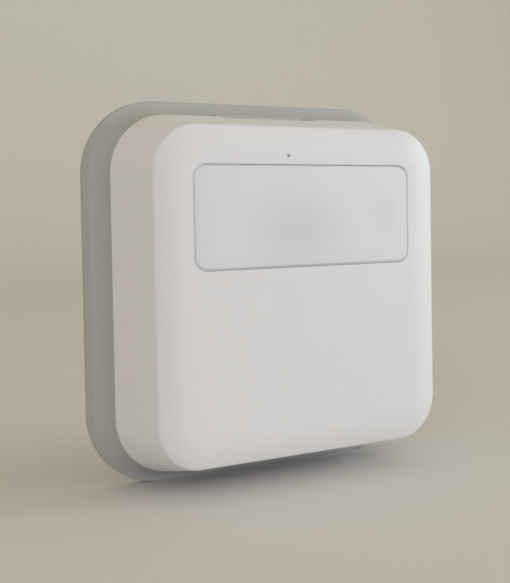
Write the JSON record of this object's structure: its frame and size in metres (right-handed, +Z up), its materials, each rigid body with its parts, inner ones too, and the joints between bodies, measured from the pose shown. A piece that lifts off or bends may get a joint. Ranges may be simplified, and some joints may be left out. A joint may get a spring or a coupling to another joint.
{
  "type": "motion sensor",
  "caption": "Square wall-mounted passive infrared motion sensor with a flared white cover, a milky lens window and a grey pull-off wall plate.",
  "frame": {"origin": "centre of the wall plate's flat back face, where it meets the wall", "axes": "+Y into the wall, +Z up, +X to the right as seen from the room; the window faces -Y"},
  "size_m": [0.0736, 0.0214, 0.0736],
  "materials": {
    "white_plastic": "fine satin moulded ABS",
    "grey_plastic": "fine satin moulded ABS",
    "lens_plastic": "milky translucent polyethylene",
    "black_plastic": "matt moulded",
    "clear_plastic": "clear polished acrylic",
    "button_plastic": "satin moulded",
    "board_green": "solder-masked glass epoxy",
    "nickel": "nickel-plated steel",
    "aluminium": "drawn aluminium",
    "filter_glass": "dark infrared filter",
    "rubber": "soft moulded",
    "chip_epoxy": "moulded epoxy",
    "battery_jacket": "shrunk plastic jacket"
  },
  "bodies": {
    "wall_plate": {"wall_plate": "grey_plastic", "release_spring": "nickel"},
    "release_button": {"release_button": "grey_plastic"},
    "sensor_body": {"front_cover": "white_plastic", "pir_lens": "lens_plastic", "lens_frame": "black_plastic", "light_pipe": "clear_plastic", "rear_cover": "white_plastic", "circuit_board": "board_green", "pir_can": "nickel", "pir_filter": "filter_glass", "pir_pins": "nickel", "pir_collar": "rubber", "radio_board": "board_green", "radio_shield": "nickel", "antenna": "nickel", "microcontroller": "chip_epoxy", "crystal": "nickel", "reservoir_capacitor": "aluminium", "chip_components": "chip_epoxy", "status_led": "clear_plastic", "pairing_switch": "black_plastic", "tamper_switch": "black_plastic", "tamper_spring": "nickel", "upper_battery_spring": "nickel", "lower_battery_spring": "nickel", "positive_contact": "nickel", "negative_contact": "nickel", "link_contact": "nickel", "case_screws": "nickel", "board_screws": "nickel"},
    "upper_battery": {"upper_cell": "nickel", "upper_sleeve": "battery_jacket"},
    "lower_battery": {"lower_cell": "nickel", "lower_sleeve": "battery_jacket"},
    "pairing_button": {"pairing_button": "button_plastic"},
    "pairing_plunger": {"pairing_plunger": "button_plastic"},
    "tamper_plunger": {"tamper_plunger": "button_plastic"}
  },
  "joints": [
    {"name": "body_pull_off", "type": "slide", "parent": "wall_plate", "child": "sensor_body", "axis": [0, -1, 0], "range_m": [0, 0.04]},
    {"name": "release_press", "type": "slide", "parent": "wall_plate", "child": "release_button", "axis": [0, 0, -1], "range_m": [0, 0.0012], "stiffness_N_per_m": 500, "springref_m": -0.001, "deforming": ["release_spring"]},
    {"name": "upper_battery_lift", "type": "slide", "parent": "sensor_body", "child": "upper_battery", "axis": [0, 1, 0], "range_m": [0, 0.0055]},
    {"name": "lower_battery_lift", "type": "slide", "parent": "sensor_body", "child": "lower_battery", "axis": [0, 1, 0], "range_m": [0, 0.0055]},
    {"name": "pairing_press", "type": "slide", "parent": "sensor_body", "child": "pairing_button", "axis": [0, -1, 0], "range_m": [0, 0.00025], "stiffness_N_per_m": 2000, "springref_m": -0.0003},
    {"name": "pairing_switch_press", "type": "slide", "parent": "sensor_body", "child": "pairing_plunger", "axis": [0, -1, 0], "range_m": [0, 0.00025]},
    {"name": "tamper_press", "type": "slide", "parent": "sensor_body", "child": "tamper_plunger", "axis": [0, -1, 0], "range_m": [0, 0.0004], "stiffness_N_per_m": 400, "springref_m": -0.001, "deforming": ["tamper_spring"]}
  ],
  "couplings": [
    {"joint": "pairing_switch_press", "follows": "pairing_press", "ratio": 1}
  ]
}
